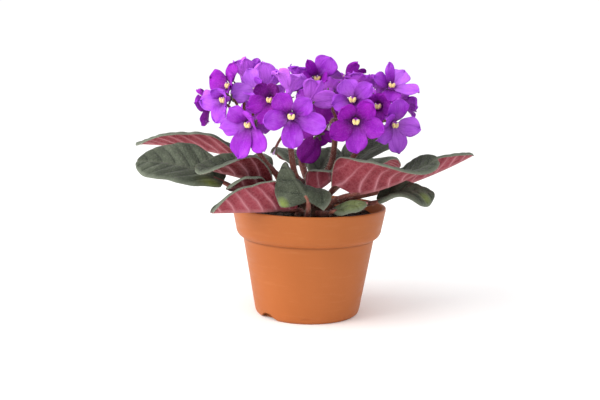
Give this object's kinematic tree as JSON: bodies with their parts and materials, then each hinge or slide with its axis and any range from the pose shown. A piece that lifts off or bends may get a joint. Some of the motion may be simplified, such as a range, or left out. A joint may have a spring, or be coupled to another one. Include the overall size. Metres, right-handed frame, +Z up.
{
  "type": "potted african violet",
  "caption": "African violet in flower: a rosette of hairy leaves and a domed bouquet of violet blooms on forked stalks, in a round pot with a collar.",
  "frame": {"origin": "middle of the pot's flat underside", "axes": "+Z up along the pot's axis, -Y towards the front of the plant, +X to the front's right"},
  "size_m": [0.2328, 0.1657, 0.176],
  "materials": {
    "pot": "terracotta-coloured moulded plastic, satin",
    "soil": "damp dark peat, crumbly",
    "crown": "rough brown-green plant trunk, with young leaves",
    "leaf": "fleshy leaf with short hairs, dark green above and wine red below",
    "stalk": "fleshy red-brown stalk with short hairs",
    "petal": "thin violet petal, velvety",
    "anther": "yellow anther, powdery"
  },
  "bodies": {
    "root": {"pot": "pot", "soil": "soil", "crown": "crown", "leaf_left_back": "leaf", "leaf_left": "leaf", "leaf_left_front": "leaf", "leaf_front_left": "leaf", "leaf_left_low": "leaf", "leaf_front": "leaf", "leaf_front_low": "leaf", "leaf_right_front": "leaf", "leaf_right_low": "leaf", "leaf_right": "leaf", "leaf_right_back": "leaf", "leaf_back_right": "leaf", "leaf_back": "leaf", "leaf_back_left": "leaf", "stalk_left": "stalk", "stalk_front": "stalk", "stalk_centre": "stalk", "stalk_right": "stalk", "stalk_back": "stalk", "bloom_a": "petal", "bloom_b": "petal", "bloom_c": "petal", "bloom_d": "petal", "bloom_h": "petal", "bloom_e": "petal", "bloom_f": "petal", "bloom_g": "petal", "bloom_i": "petal", "bloom_k": "petal", "bloom_l": "petal", "bloom_o": "petal", "bloom_p": "petal", "bloom_n": "petal", "bloom_q": "petal", "bloom_r": "petal", "bloom_s": "petal", "bloom_t": "petal", "bloom_u": "petal", "bloom_j": "petal", "bloom_m": "petal", "bloom_v": "petal", "bloom_w": "petal", "bloom_x": "petal", "bloom_y": "petal", "bloom_z": "petal", "anthers_b": "anther", "anthers_c": "anther", "anthers_f": "anther", "anthers_g": "anther", "anthers_h": "anther", "anthers_k": "anther", "anthers_o": "anther", "anthers_p": "anther", "anthers_q": "anther", "anthers_r": "anther", "anthers_s": "anther", "anthers_v": "anther"}
  },
  "joints": []
}
